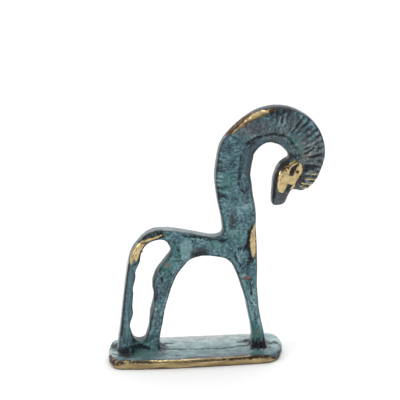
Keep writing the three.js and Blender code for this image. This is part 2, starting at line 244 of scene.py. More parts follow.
# Cracks and pits in the plinth's top: (path of (x, y), half width, depth).
TOP_GROOVES = [
    ([(-14.3, -0.4), (-7.4, -1.3), (-0.6, -2.1), (11, -2.6), (15.7, -1.8), (22.1, 0.1), (24.4, -0.2)],
     0.5, 0.4),
    ([(33.2, 3.6), (35, 1.6), (37, 2.9), (38.6, 0.2), (39.4, -4)], 0.7, 0.4),
    ([(21.6, 5.4), (25.9, 6.8)], 1.2, 0.6),
    ([(-13.6, 7.1), (-11, 6.8)], 0.8, 0.45),
    ([(-7.8, -1.2), (-6.2, -1.5)], 0.9, 0.35),
    ([(14.8, -2.2), (17, -1.4)], 0.9, 0.35),
    ([(20.6, -0.6), (22.6, 0)], 0.9, 0.3),
    ([(-16.4, 9), (-15, 5.4), (-13.5, 2.1)], 0.8, 0.3),
    ([(-16.6, 4), (-15.3, -1.6)], 1, 0.3),
    ([(-9.9, -9.8), (-8.8, -9.9)], 0.8, 0.35),
    ([(-15.6, -7), (-14.8, -7)], 0.8, 0.3),
]

# The plinth's side, near and far alike, at stations along X: the height where the bare metal ends, and the
# lower and upper edge of the band of dark brown oxide.
PLINTH_BANDS = [
    (-41, 0.2, 0, 9), (-39.8, 3.2, 0, 9), (-38.6, 3.8, 0.8, 9), (-37, 3.9, 2, 9),
    (-34, 4.1, 2.8, 4), (-26, 4.1, 3.1, 4), (-21, 4.2, 3.2, 3.9), (-17, 4.3, 3.3, 3.7),
    (-12, 4.3, 3.1, 3.4), (-7, 4.3, 2.9, 3.3), (0, 4.3, 2.9, 3.4), (10, 4.3, 2.7, 3.6),
    (16, 4.3, 2.7, 3.6), (22, 4.3, 2.6, 3.7), (27, 4.2, 2.6, 9), (31, 4.1, 2.4, 9),
    (33.5, 3.4, 2, 9), (35.2, 2.7, 1, 9), (36.6, 1.9, 0, 9), (37.6, 0, 0, 9),
]

# Dark lines along edges in the side view: (path, half width, share of the colour).
STAIN_LINES = {
    "dirt_and_shade": [
        ([(41, 94.6), (39.2, 93.4), (37.3, 91.6), (35.5, 89.6), (34.7, 87.4), (34.4, 85), (34.3, 82),
          (34.3, 79), (34.7, 76.4)], 1.5, 1),
        ([(-27.6, 56.9), (-24.3, 58.9), (-22, 59.7), (-18.9, 60.4), (-16.4, 60.8)], 1.1, 1),
        ([(-15.3, 59.2), (-17.5, 57.9), (-20.7, 56.9), (-23.2, 55), (-24.6, 52.7), (-25.3, 50.4),
          (-26.6, 47.4), (-28.4, 46)], 0.5, 0.9),
        ([(25.4, 62.9), (24.3, 60.3), (23.5, 57.5), (23.4, 53.5), (24, 49.6), (25.2, 46.6)], 0.8, 1),
        ([(27.2, 60.5), (27.4, 54), (27.2, 49)], 0.3, 0.9),
        # Painted shade in the hollow under the web between the tail and the hind leg.
        ([(-30.2, 7.6), (-25.7, 7), (-22.5, 6.6)], 0.9, 1),
        ([(-30.6, 46), (-31.5, 41.8), (-32.1, 37.1), (-32.7, 32.4), (-33.1, 27.6), (-33.6, 22.9),
          (-34.1, 18.1), (-34.5, 13.3)], 0.5, 0.9),
    ],
    "umber": [
        ([(45.4, 91), (43.6, 88.9), (42.6, 87)], 1.2, 1),
        ([(42, 93.6), (39.6, 91.9), (37.8, 90.2), (36.4, 88), (35.8, 84), (35.8, 80)], 0.9, 0.9),
    ],
    "plum": [
        ([(-30.7, 45.5), (-31.6, 41.8), (-32.1, 37.1), (-32.9, 32.4), (-33.3, 27.6), (-33.9, 22.9),
          (-34.4, 18.1), (-34.7, 13.3)], 0.8, 0.7),
        ([(-16.6, 47.2), (-18.5, 43.4), (-19.3, 40.4), (-18.8, 35.6), (-18.6, 30.9), (-19.4, 27.1),
          (-20.8, 23.3)], 0.7, 0.7),
    ],
}

# Blotches of colour: (x, y, z, half size along x, y and z, share of the colour at the middle). A share over
# 1 makes the colour stronger still.
BLOTCHES = {
    "dirt_and_shade": [
        (28.6, -5, 6.4, 4, 3.4, 2.8, 1.4),
        (28.8, -4.5, 7.8, 3, 3, 1.8, 1.2),
        (-33, -5, 5.4, 5, 4, 2, 1),
        (-36, 6, 4.2, 3, 5, 1.6, 1),
        # Painted shade in the hollow under the web between the tail and the hind leg.
        (-25.6, -4.5, 7.4, 3.8, 2.6, 1, 1.1),
        (-16.5, 3, 5, 3, 8, 3, 0.7),
        (29, 2, 4.6, 6, 7, 2.2, 0.7),
        (1, -4.5, 50, 4, 4, 2.2, 0.8),
        (23, -4.8, 53, 2, 2.5, 1.6, 0.8),
        (11.6, -4.7, 56.6, 2, 2.5, 1.2, 0.9),
        (43, -4.5, 94.4, 4.2, 3.5, 1.8, 0.9),
        (39.5, -5, 90.6, 3.4, 2.5, 1.6, 0.6),
        (50.6, -5, 88.8, 3.4, 3, 1.5, 1),
        (47.6, -5, 84.4, 1.6, 3, 3.4, 0.8),
        (24.5, -4.8, 101.4, 2, 3, 2, 0.6),
        (20, -4.8, 93, 1, 3, 4, 0.45),
        (-12.5, -4.4, 36, 1, 2.5, 4, 0.4),
        (41.6, -5.4, 80.4, 2.2, 2.5, 1.6, 1),
        (45.5, -5.4, 87.7, 0.7, 2.5, 0.7, 1),
        (38.4, -2.5, 92.2, 4, 5, 1.9, 0.9),
        (38.6, -8, 1.8, 3.4, 9, 2, 0.9),
        (-40.4, -8, 0.8, 2.4, 9, 1, 0.8),
    ],
    "plum": [
        (46, -5, 84, 3.2, 4, 4.4, 0.9),
        (30.4, -6.5, 7, 2.2, 4, 2.6, 0.8),
        (-33, -7, 4.6, 6, 4, 2, 0.8),
        (16.2, -5, 65.8, 2, 2.5, 4, 0.7),
        (1, -4.5, 51.5, 4, 3, 2.4, 0.8),
        (24.6, -4.8, 92, 2.4, 3, 10, 0.6),
        (22.6, -4.8, 79, 2.4, 3, 6, 0.4),
        (25.5, -4.8, 108, 7, 3, 3, 0.6),
        (-18.6, -4, 21.5, 1.6, 3, 3, 0.6),
        (24.6, -4.8, 57, 1.6, 3, 6.5, 0.7),
        (43, -5, 112, 3, 3, 4, 0.5),
        (48.6, -5, 103.4, 2.4, 3, 2, 0.6),
        (37.6, -5.2, 76.6, 1.8, 3, 2.6, 0.6),
        (-15, -4.2, 36, 2, 3, 3, 0.4),
        (18, -11.5, 4.2, 22, 2.4, 1, 0.4),
        (-36, 4, 4.4, 3.4, 6, 1.5, 1),
        (30, -4.8, 105.6, 10, 3, 1.4, 0.4),
    ],
    "verdigris": [
        (26.6, -4.5, 11, 3, 3.5, 5.5, 1),
        (-14, -4.4, 45.6, 4, 3, 3.6, 0.7),
        (-10.6, -4.6, 52, 3, 3, 4, 0.5),
        (46.9, -5, 97, 1.7, 3, 4.6, 0.9),
        (-25, -6, 4.6, 7, 3.5, 2, 0.8),
        (28, -10, 4.4, 5.5, 2.2, 1.4, 0.8),
        (4, -4, 4.2, 26, 7, 1, 0.25),
        (18, -5, 58, 6, 3, 3.6, 0.35),
        (9, -4.8, 54.6, 5, 3, 2.6, 0.3),
        (44.5, -5, 102.6, 4, 3, 3, 0.5),
        (12.6, -5, 83, 3.4, 3, 5, 0.4),
        (-24, -4, 8, 5, 3, 4, 0.4),
        (14, -5, 64.5, 3, 3, 4, 0.25),
    ],
    "pale": [
        (-4.6, -4.6, 52.6, 3, 3, 5.4, 0.9),
        (8, -4.8, 55, 5, 3, 2, 0.5),
        (19, -5, 58.6, 4, 3, 2.6, 0.5),
        (21.4, -5, 72, 3.6, 3, 5.4, 0.5),
        (25.4, -4.4, 26, 2.4, 3, 9, 0.8),
        (23, -4.4, 42, 2.4, 3, 4, 0.4),
        (-10.6, -4.4, 46, 1.8, 3, 3, 0.5),
        (-8, -9.5, 4.2, 9, 3, 1, 0.4),
        (31, -4.8, 3.9, 6, 4.5, 1, 0.4),
        (-38, -3, 4.2, 3, 6, 1, 0.6),
        (11.5, -4.9, 84.6, 3, 3, 3, 0.5),
        (19, -4.9, 52.4, 2.6, 3, 2, 0.3),
        (49.4, -4.9, 82.2, 3.4, 3, 3, 1.1),
        (38.6, -4.8, 108.2, 2.6, 3, 2.4, 0.7),
        (53.6, -4.8, 108.6, 2.4, 4, 3, 0.7),
        (28.8, -4.8, 15.6, 1.8, 3, 3, 0.9),
    ],
    "tarnish": [
        (40, -5.6, 91.2, 2.2, 3, 1.2, 1),
        (38.6, -5.6, 89.2, 1.3, 3, 1.3, 0.9),
        (40.6, -5.6, 89.4, 0.9, 3, 0.9, 0.8),
        (38.8, -5.6, 86.4, 0.5, 3, 2.6, 0.5),
        (41.4, -5.6, 81.6, 1.6, 3, 0.8, 0.8),
        (-22.6, -3.6, 56.4, 3.4, 3, 0.8, 0.8),
        (-28.6, -3.8, 48, 1, 3, 2.6, 0.5),
        (26.6, -4.8, 48.2, 1.2, 3, 1.2, 0.8),
        (20, -3.6, 109.6, 5, 1.6, 3, 0.8),
        (34.6, -3.8, 115.4, 3, 1.6, 1.8, 1),
    ],
    # Ash greys the patina: on the body it is greyer patina, while on the plinth's top, most towards its far
    # side, and on its left end it is painted sheen.
    "ash_and_sheen": [
        (0, -2, 4.2, 44, 22, 1.5, 0.3),
        (52, -4.8, 92, 9, 4, 14, 0.7),
        (40, -4.8, 109, 8, 4, 5, 0.4),
        (26, -4.8, 107, 9, 4, 4, 0.5),
        (38, -5.2, 75, 5, 5, 4, 0.8),
        (36, -4.8, 103, 9, 4, 2, 0.4),
        (43, -4.8, 97, 3, 4, 4, 0.4),
        (3, 14, 4.2, 36, 6, 1.5, 0.8),
        (-40, -3, 3, 2, 12, 2, 0.8),
    ],
    "umber": [
        (39.4, -5.4, 90.8, 4.2, 3, 2.4, 1.5),
        (30.6, -6, 6, 1.2, 3, 1.4, 0.6),
    ],
    "shade": [
        (34, -4.8, 110, 15, 4, 6, 0.6),
        (22.2, -4.8, 43.5, 2.6, 3, 3.4, 1.1),
        (32.8, -4.8, 101.6, 3, 3, 1.6, 0.9),
        (24.2, -4.8, 103.2, 3, 3, 2.4, 0.8),
        (54.2, -4, 92, 2.4, 4, 8, 0.9),
        (-19.6, -3.8, 41, 1.2, 4, 3, 0.9),
        (14, -4.8, 97, 6, 4, 8, 0.5),
        (-33.6, -4, 30, 1.4, 4, 24, 0.7),
        (-37, 6, 4.2, 5, 9, 1.5, 1.6),
        # Painted shade on the web's top face, down in the slot beside the tail.
        (-26, 0, 10.5, 6, 7, 3, 2.2),
        (31, -2, 117, 14, 9, 4, 2.4),
        (-5, -5, 54, 4, 4, 5, 0.3),
    ],
    "copper": [
        (22.8, -4.5, 38.6, 1.2, 2, 0.8, 0.9),
        (-13.4, -4.3, 45.8, 1, 2, 0.9, 0.9),
        (27.6, -4.5, 12, 0.7, 2, 1.5, 0.7),
        (28.8, -5.6, 8.6, 0.5, 2, 0.5, 0.8),
        (29.2, -6.2, 6.6, 0.6, 2, 0.6, 0.8),
        (45.4, -5, 103.4, 1.1, 2, 0.8, 0.7),
        (49.4, -5, 94.2, 1.1, 2, 0.9, 0.6),
        (30.2, -6.4, 7, 0.9, 3, 1.6, 0.5),
    ],
}

# Stains that lie over the patina, the lowest first, and all that the material reads from the mesh.
STAINS = ("plum", "verdigris", "copper", "umber", "dirt_and_shade")
FIELDS = ("tone", "gloss", "polish", "browned", "crust", "tarnish", "ash_and_sheen", *STAINS)
# Borders of the colours: where they lie against a blotch's or a line's own size, how far noise frays them,
# and how soft they are.
BLOTCH_BORDER = 1.25
LINE_BORDER = 1.4
FRAYING = 0.45
BORDER_SOFTNESS = 0.6

# Stage, in metres: size, place and aim of each softbox, and the way that the overhead light shines.
SOFTBOXES = {
    "side_softbox": ((0.3, 0.6), (-0.55, -0.2, 0.42), (0, 0, 0.06)),
    "front_strip": ((0.12, 0.4), (-0.36, -0.94, 0.12), (0, 0, 0.07)),
}
OVERHEAD_WAY = (-0.25, -0.35, -1.0)
FLOOR_SIZE = 8.0
FLOOR_GAP = 0.02 * MM
CAMERA_TARGET = Vector((2.0, 0.0, 74.5)) * MM
# The camera's sensor in millimetres, and the nearest and farthest distance that it sees.
SENSOR_WIDTH = 36.0
CAMERA_RANGE = (0.01, 20.0)

# Each seed moves its noise this much further, in lumps.
SEED_STEP = Vector((17.3, 5.1, 11.7))
# Noises over the surface: size of the lumps in millimetres, or along X, Y and Z where they are stretched,
# seed and octaves. Those of mane_skin are along the mane, across it and from side to side.
NOISES = {
    "soft_lumps": (3.4, 1, 2),
    "plinth_drift": (12, 4, 2),
    "plinth_border": (2.2, 5, 2),
    "stain_border": (2.2, 7, 3),
    "plinth_toning": ((9, 9, 1.4), 8, 2),
    "tone_clouds": (5, 9, 2),
    "zone_clouds": ((5, 3.5, 6), 10, 2),
    "rib_spacing": (6, 11, 2),
    "rib_depth": (1, 12, 2),
    "groove_border": (1.8, 13, 2),
    "crust_flecks": (1.4, 14, 2),
    "tail_bands": ((0.8, 4, 12), 15, 2),
    "browned_flecks": (1.2, 16, 2),
    "streak_breaks": (0.9, 17, 2),
    "tarnish_border": (1.3, 18, 2),
    "browned_clouds": (2, 19, 2),
    "mane_skin": ((0.9, 1.7, 2), 21, 2),
    "leg_skin": ((0.9, 1, 1.7), 22, 2),
    "body_skin": (1.1, 23, 2),
    "worked_metal": (2.4, 31, 2),
    "file_marks": ((9, 9, 0.9), 32, 2),
    "slot_knobs": (6.5, 33, 1),
    "plinth_ground": (3.8, 34, 2),
}
# Noises of the patina's colour: size in millimetres, detail, and how a stretch of the noise's values, from
# one to another, changes the tone, from one amount to another. The last two make pits and flecks.
PATINA_GRAIN = [
    (0.9, 4, 0.3, 0.7, -0.2, 0.2),
    (0.6, 3, 0.3, 0.7, -0.24, 0.24),
    (1.1, 3, 0.58, 0.7, 0, -0.28),
    (0.8, 2, 0.6, 0.7, 0, 0.28),
]
# Noises that roughen the surface and the borders of the metal: size in millimetres and detail. Real
# polishing scratches are too fine to show, so these are as coarse as the picture needs.
SPECKLE_NOISE = (0.9, 4)
SCRATCH_NOISE = (0.35, 2)
BUMP_HEIGHT = 0.08 * MM


def linear(hex_colour):
    """Turns an sRGB hex colour such as #4B6F79 into the linear red, green and blue of a shader."""
    channels = [int(hex_colour[i:i + 2], 16) / 255 for i in (1, 3, 5)]
    return tuple(c / 12.92 if c <= 0.04045 else ((c + 0.055) / 1.055) ** 2.4 for c in channels)


def setting(name, description, default, **units):
    """A number that a user may change."""
    return bpy.props.FloatProperty(name=name, description=description, default=default, **units)


def tint(name, description, hex_colour):
    """A colour that a user may change."""
    return bpy.props.FloatVectorProperty(
        name=name, description=description, default=linear(hex_colour), subtype="COLOR", min=0, max=1)


class StatuetteCastingSettings(bpy.types.PropertyGroup):
    """Sizes of the cast surface."""
    grain: setting("Surface grain", "Spacing of the surface's points", 0.46 * MM, unit="LENGTH")
    evening: bpy.props.IntProperty(
        name="Evening rounds", description="How often the facets are evened out", default=10, min=0)
    lump_height: setting("Lump height", "Height of the casting's soft lumps", 0.05 * MM, unit="LENGTH")
    lump_size: setting(
        "Lump size", "Distance between soft lumps", NOISES["soft_lumps"][0] * MM, unit="LENGTH")
    pit_height: setting("Roughness height", "Height of the rough cast skin", 0.04 * MM, unit="LENGTH")


class StatuettePatinaSettings(bpy.types.PropertyGroup):
    """Colours of the patina and of the bare metal."""
    deep: tint("Recess", "Patina in the deepest recesses", "#0C1318")
    dark: tint("Dark patina", "Patina in shallow recesses", "#293F47")
    middle: tint("Patina", "Patina on most of the surface", "#4C7079")
    light: tint("Light patina", "Patina on raised places", "#73999D")
    chalk: tint("Chalky patina", "Patina rubbed pale on the highest places", "#B4C7C5")
    plum: tint("Plum", "Purple-brown oxide", "#3B3440")
    verdigris: tint("Verdigris", "Green copper salts", "#2F6A60")
    umber: tint("Umber", "Warm brown oxide beside the bare metal", "#33251F")
    crust: tint("Plinth edge", "Dark brown oxide along the plinth's upper edge", "#2C1E1A")
    copper: tint("Copper", "Reddish spots where the oxide flaked off", "#8F4A35")
    brass: tint("Bare metal", "Polished bronze", "#C6B184")
    browned: tint("Browned metal", "Bare bronze that has toned brown", "#3F2613")
    # Dirt, and also the painted shade in the hollow under the web between the tail and the hind leg.
    dirt_and_shade: tint("Dirt", "Black-brown dirt round the feet and in folds", "#101116")


class StatuetteStageSettings(bpy.types.PropertyGroup):
    """Floor, lights and camera."""
    board: tint("Floor", "The white board under the statuette", "#ECECEC")
    azimuth: setting(
        "Camera azimuth", "Turn of the camera towards the tail", math.radians(-7), subtype="ANGLE")
    elevation: setting(
        "Camera elevation", "Height of the camera over the horizon", math.radians(15), subtype="ANGLE")
    distance: setting("Camera distance", "From the camera to the point it looks at", 0.72, unit="LENGTH")
    lens: setting("Lens", "Focal length in millimetres", 144.0)
    surroundings: setting("Surroundings", "Brightness of the room that the statuette mirrors", 0.22)
    back_glow: setting("Back glow", "Brightness of the wall behind the statuette", 1.1)
    side_glow: setting("Side glow", "Brightness of the wall on the tail's side", 0.45)
    sky_power: setting("Overhead light", "Strength of the broad light from above and behind", 1.3)
    sky_width: setting(
        "Overhead width", "Angle that the broad light covers", math.radians(60), subtype="ANGLE")
    strip_power: setting("Front strip", "Power in watts of the narrow softbox in front", 0.7)
    side_power: setting("Side light", "Power in watts of the softbox on the tail's side", 1.4)


# Numbers over the surface

def ease(values, low, high):
    """0 below low, 1 above high and a smooth curve between them."""
    share = np.clip((values - low) / (high - low), 0, 1)
    return share * share * (3 - 2 * share)


def noise_field(points, name, size=None):
    """Cloudy noise of NOISES, or the same in another size, with a mean of 0 and a spread of 1."""
    listed_size, seed, octaves = NOISES[name]
    shift = SEED_STEP * seed
    places = points / (size or listed_size)
    values = np.array([noise.fractal(Vector(place) + shift, 1.0, 2.0, octaves) for place in places])
    return (values - values.mean()) / values.std()


def side_view(points):
    """Places as (x, z), as seen from the side."""
    return points[:, [0, 2]]


def over_plinth(points, gap):
    """True more than a gap over the plinth's top."""
    return points[:, 2] > PLINTH_TOP + gap


def path_distance(plane, path):
    """Distance of each point to a path."""
    best = np.full(len(plane), np.inf)
    for start, end in zip(path[:-1], path[1:]):
        way = np.subtract(end, start)
        share = np.clip(((plane - start) @ way) / (way @ way), 0, 1)
        best = np.minimum(best, np.linalg.norm(plane - start - share[:, None] * way, axis=1))
    return best


def depth_inside(plane, outline):
    """Distance of each point to a closed outline, above zero inside it and below zero outside."""
    closed = outline + outline[:1]
    distance = path_distance(plane, closed)
    x, z = plane.T
    inside = np.zeros(len(plane), bool)
    for (x0, z0), (x1, z1) in zip(closed[:-1], closed[1:]):
        if z0 != z1:
            crosses = (z0 > z) != (z1 > z)
            inside ^= crosses & (x < x0 + (z - z0) * (x1 - x0) / (z1 - z0))
    return np.where(inside, distance, -distance)


def groove_share(plane, grooves, wander):
    """Depth of all grooves together at each point, in millimetres. A noise makes their edges wander."""
    total = np.zeros(len(plane))
    fading = np.clip(0.85 - 0.2 * wander, 0.3, 1.3)
    for path, half_width, depth in grooves:
        edge_shift = 0.15 * half_width * wander
        reach = np.clip(path_distance(plane, path) + edge_shift, 0, None) / half_width
        total = np.maximum(total, depth * fading * np.exp(-reach ** 2))
    return total


def ragged_share(reach, border, edge_noise):
    """1 inside a border and 0 outside it. The reach is 1 at the shape's own size, and noise frays it."""
    return ease(border - reach + FRAYING * edge_noise, 0, BORDER_SOFTNESS)


def stain_share(points, kind, edge_noise):
    """Share of one colour at each point, from blotches and lines with edges broken up by noise.

    What lies above the plinth is the same on both sides of the horse.
    """
    near_side = points * (1, 0, 1) - np.abs(points) * (0, 1, 0)
    folded = np.where(points[:, 2:] > PLINTH_TOP + 3, near_side, points)
    total = np.zeros(len(points))
    for x, y, z, long, deep, high, amount in BLOTCHES[kind]:
        reach = np.linalg.norm((folded - (x, y, z)) / (long, deep, high), axis=1)
        total = np.maximum(total, amount * ragged_share(reach, BLOTCH_BORDER, edge_noise))
    off_middle = ease(-folded[:, 1], 1.5, 3)
    for path, half_width, amount in STAIN_LINES.get(kind, []):
        reach = path_distance(side_view(points), path) / half_width
        total = np.maximum(total, amount * ragged_share(reach, LINE_BORDER, edge_noise) * off_middle)
    return total


# Blender pieces

def select_only(piece):
    bpy.ops.object.select_all(action="DESELECT")
    piece.select_set(True)
    bpy.context.view_layer.objects.active = piece


def apply_modifier(piece, kind, **settings):
    select_only(piece)
    modifier = piece.modifiers.new(kind.lower(), kind)
    for key, value in settings.items():
        setattr(modifier, key, value)
    bpy.ops.object.modifier_apply(modifier=modifier.name)


def merged_copy(node, name):
    """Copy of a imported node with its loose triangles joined."""
    piece = bpy.data.objects.new(name, node.data.copy())
    bpy.context.scene.collection.objects.link(piece)
    piece.data.materials.clear()
    select_only(piece)
    bpy.ops.object.mode_set(mode="EDIT")
    bpy.ops.mesh.select_all(action="SELECT")
    bpy.ops.mesh.remove_doubles(threshold=MERGE_GAP)
    bpy.ops.object.mode_set(mode="OBJECT")
    return piece


def surface_of(piece):
    """Places of the vertices in millimetres and their normals."""
    count = len(piece.data.vertices)
    points = np.empty(count * 3)
    normals = np.empty(count * 3)
    piece.data.vertices.foreach_get("co", points)
    piece.data.vertex_normals.foreach_get("vector", normals)
    return points.reshape(-1, 3) / MM, normals.reshape(-1, 3)


def set_group(piece, name, weights):
    """Vertex group with a weight for each vertex, in 256 steps."""
    old = piece.vertex_groups.get(name)
    if old:
        piece.vertex_groups.remove(old)
    group = piece.vertex_groups.new(name=name)
    steps = np.round(np.clip(weights, 0, 1) * 255).astype(int)
    for step in np.unique(steps):
        group.add(np.flatnonzero(steps == step).tolist(), step / 255, "REPLACE")


def raise_surface(piece, heights):
    """Moves the surface along its normals by a height in millimetres for each vertex."""
    for sign in (1, -1):
        part = np.clip(sign * heights, 0, None)
        most = part.max()
        if most > 0:
            set_group(piece, "relief", part / most)
            apply_modifier(
                piece, "DISPLACE", vertex_group="relief", strength=sign * most * MM, mid_level=0.0)


def set_attribute(piece, name, values):
    layer = piece.data.attributes.new(name, "FLOAT", "POINT")
    layer.data.foreach_set("value", values.astype(np.float32))


def over_smooth(piece, rounds):
    """How far each vertex stands over a smoothed copy in millimetres, and the copy's normals."""
    smooth = bpy.data.objects.new("smooth_copy", piece.data.copy())
    bpy.context.scene.collection.objects.link(smooth)
    apply_modifier(smooth, "SMOOTH", factor=0.5, iterations=rounds)
    base, base_normals = surface_of(smooth)
    points, _ = surface_of(piece)
    mesh = smooth.data
    bpy.data.objects.remove(smooth)
    bpy.data.meshes.remove(mesh)
    return np.sum((points - base) * base_normals, axis=1), base_normals


# Casting

def facing_side(normals):
    """1 on faces that look to either side of the horse and 0 on the rims between them."""
    return ease(np.abs(normals[:, 1]), 0.3, 0.65)


def mane_share(points):
    """1 on the ribbed mane and 0 off it."""
    return ease(depth_inside(side_view(points), MANE_OUTLINE), -0.4, 0.6)


def haunch_reach(points):
    """1 on the border of the raised patch over the haunch, and less inside it."""
    x, z, long, high = HAUNCH_PATCH
    return np.hypot((points[:, 0] - x) / long, (points[:, 2] - z) / high)


def mane_place(points):
    """Place of each point along the mane and its distance from the arch's centre, across the mane."""
    x = points[:, 0] - ARCH_X
    z = points[:, 2] - ARCH_Z
    turn = np.arctan2(z, x)
    along = (math.pi - turn) * RIB_RADIUS
    across = np.hypot(x, z)
    neck = (x < 0) & (z < 0)
    along[neck] = z[neck]
    across[neck] = -x[neck]
    tip = (x >= 0) & (turn < TIP_TURN)
    sine, cosine = math.sin(TIP_TURN), math.cos(TIP_TURN)
    below = x * sine - z * cosine
    along[tip] = (math.pi - TIP_TURN) * RIB_RADIUS + below[tip]
    across[tip] = (x * cosine + z * sine)[tip]
    return along, across


def rib_grooves(points, normals):
    """Depth in millimetres of the grooves between the mane's ribs, no two of them alike."""
    along, across = mane_place(points)
    places, strengths, inner_ends = np.array(RIB_REACH, float).T
    place = along / RIB_PITCH + 0.1 * noise_field(points, "rib_spacing")
    number = np.round(place)
    off = np.abs(place - number) * RIB_PITCH
    own_place = np.stack([number * RIB_NOISE_STEP, across / RIB_NOISE_LENGTH, 0 * number], axis=1)
    own_noise = noise_field(own_place, "rib_depth")
    own_depth = np.clip(0.75 + 0.35 * own_noise, 0.1, 1.4)
    depth = RIB_DEPTH * np.interp(along, places, strengths) * own_depth
    start = np.interp(along, places, inner_ends) + 0.8 * own_noise
    facing = ease(np.abs(normals[:, 1]), 0.05, 0.4)
    across_share = ease(across - start, 0.0, 2.5) * facing * mane_share(points)
    return depth * np.exp(-(off / RIB_WIDTH) ** 2) * across_share


def even_out(piece, rounds):
    """Evens the facets out. Each round smooths and then swells the surface, so it keeps its size."""
    for _ in range(rounds):
        apply_modifier(piece, "SMOOTH", factor=0.5, iterations=1)
        apply_modifier(piece, "SMOOTH", factor=-0.53, iterations=1)


def worn_share(points):
    """1 along the corners that wear has rounded off: the crest, the rump and the chest."""
    side = side_view(points)
    crest = ease(depth_inside(side, CREST_PATCH), -1, 1) * ease(-points[:, 1], 1, 3)
    edges = [ease(depth_inside(side, patch), -1.5, 0.2) for patch in (RUMP_PATCH, CHEST_PATCH)]
    return np.maximum(crest, np.maximum(*edges) * ease(np.abs(points[:, 1]), 1.5, 3))


def eye_distance(points):
    """Distance of each point to the eye's middle, as seen from the side."""
    return np.hypot(points[:, 0] - EYE_X, points[:, 2] - EYE_Z)


def tool_marks(points, normals):
    """Grooves, ridges and pits in millimetres: above zero is raised. They are fainter on the far side."""
    side_share = ease(-normals[:, 1], 0.2, 0.6) + 0.5 * ease(normals[:, 1], 0.2, 0.6)
    on_top = ease(normals[:, 2], 0.5, 0.8) * ~over_plinth(points, 1)
    side = side_view(points)
    wander = noise_field(points, "groove_border")
    ridges = SIDE_RIDGES + [(path, 1.3 * TIP_STREAK_WIDTH, TIP_STREAK_HEIGHT) for path in TIP_STREAKS]
    marks = groove_share(side, ridges, wander) - groove_share(side, SIDE_GROOVES, wander)
    marks += HAUNCH_HEIGHT * ease(1.2 - haunch_reach(points), 0, 0.5)
    marks = marks * side_share - on_top * groove_share(points[:, [0, 1]], TOP_GROOVES, wander)
    eye = EYE_DEPTH * ease(EYE_RADIUS * 1.5 - eye_distance(points), 0, EYE_RADIUS)
    brow = BROW_DEPTH * ease(depth_inside(side, BROW_HOLLOW), -0.3, 0.4)
    return marks - facing_side(normals) * np.maximum(eye, brow)


def in_openings(points):
    """True on the edges that face the slot beside the tail and the arch under the belly."""
    x, _, z = points.T
    return (x > OPENINGS_LEFT) & (x < OPENINGS_RIGHT) & (z < OPENINGS_TOP) & over_plinth(points, 0.6)


def streak_noise(points):
    """Grain of the cast skin: streaks across the mane and down the legs, and even on the body."""
    along, across = mane_place(points)
    mane = noise_field(np.stack([along, across, points[:, 1]], axis=1), "mane_skin")
    legs = noise_field(points, "leg_skin")
    body = noise_field(points, "body_skin")
    on_mane = mane_share(points)
    on_legs = ease(LEGS_TOP - points[:, 2], 0, 6) * over_plinth(points, 0.5)
    return on_mane * mane + (1 - on_mane) * (on_legs * legs + (1 - on_legs) * body)


def smooth_zones(points, normals):
    """Smooth and glossy places of the casting: for each, its share at every point and its tone. The tones of
    the rims, the tail's back and the plinth hold painted light, shade and sheen.
    """
    x, y, z = points.T
    rim = 1 - ease(np.abs(normals[:, 1]), 0.35, 0.7)
    tail = ease(SLOT_MIDDLE - x, 0, 1) * ease(TAIL_TOP - z, 0, 5) * ease(z - TAIL_FOOT, 0, 5)
    # Painted reflection: the tail's rim that faces back gets a light tone, like the pale sheen it mirrors.
    tail_back_sheen = rim * tail * ease(-normals[:, 0], 0.3, 0.8) * ease(TAIL_BACK - x, 0, 1)
    throat = ease(depth_inside(side_view(points), THROAT_OUTLINE), -0.3, 0.5)
    muzzle = ease(MUZZLE_TOP - z, 0, 3) * ease(x - MUZZLE_LEFT, 0, 0.5) * ease(MUZZLE_RIGHT - x, 0, 1)
    haunch = ease(1.3 - haunch_reach(points), 0, 0.3)
    foreleg = np.maximum.reduce([
        ease(1.3 - path_distance(side_view(points), path) / half_width, 0, 0.5)
        for path, half_width in FORELEG_BANDS])
    plinth = ~over_plinth(points, 0.6)
    clouds = noise_field(points, "zone_clouds")
    bands = noise_field(points, "tail_bands")
    inner_edges = in_openings(points) & (x > SLOT_MIDDLE)
    # Painted light and shade on the rims: lighter where they face up, and darker on the inner edges of the
    # openings, which lie in shade.
    rim_light_and_shade_tone = 0.34 - 0.24 * inner_edges + 0.04 * clouds + 0.2 * ease(normals[:, 2], 0.5, 0.9)
    # Painted sheen on the plinth: its tone grows lighter towards the far side of its top and towards its
    # ends, as the bright room it mirrors makes them look. Down its side the tone grows darker.
    far = ease(y, -12, 8)
    ends = ease(np.abs(x), PLINTH_END - 7, PLINTH_END - 2)
    low = np.clip(PLINTH_TOP - z, 0, 4)
    return [
        (tail * 0.8, 0.5 + 0.07 * bands),
        (rim * 0.75, rim_light_and_shade_tone),
        (tail_back_sheen, 0.66),
        (throat * 0.7, 0.29 + 0.04 * clouds),
        (muzzle * 0.8, 0.26 + 0.03 * clouds),
        (haunch * 0.75, 0.61),
        (foreleg * 0.7, 0.6),
        (plinth * 0.42, 0.52 + 0.7 * far + 0.4 * ends + 0.1 * clouds - 0.16 * low),
    ]


def plinth_bands(points):
    """Heights of the borders round the plinth's side at each point, wandering a little."""
    x = points[:, 0] + 1.2 * noise_field(points, "plinth_drift")
    stations, *borders = np.array(PLINTH_BANDS, float).T
    wander = 0.12 * noise_field(points, "plinth_border")
    return [np.interp(x, stations, border) + wander for border in borders]


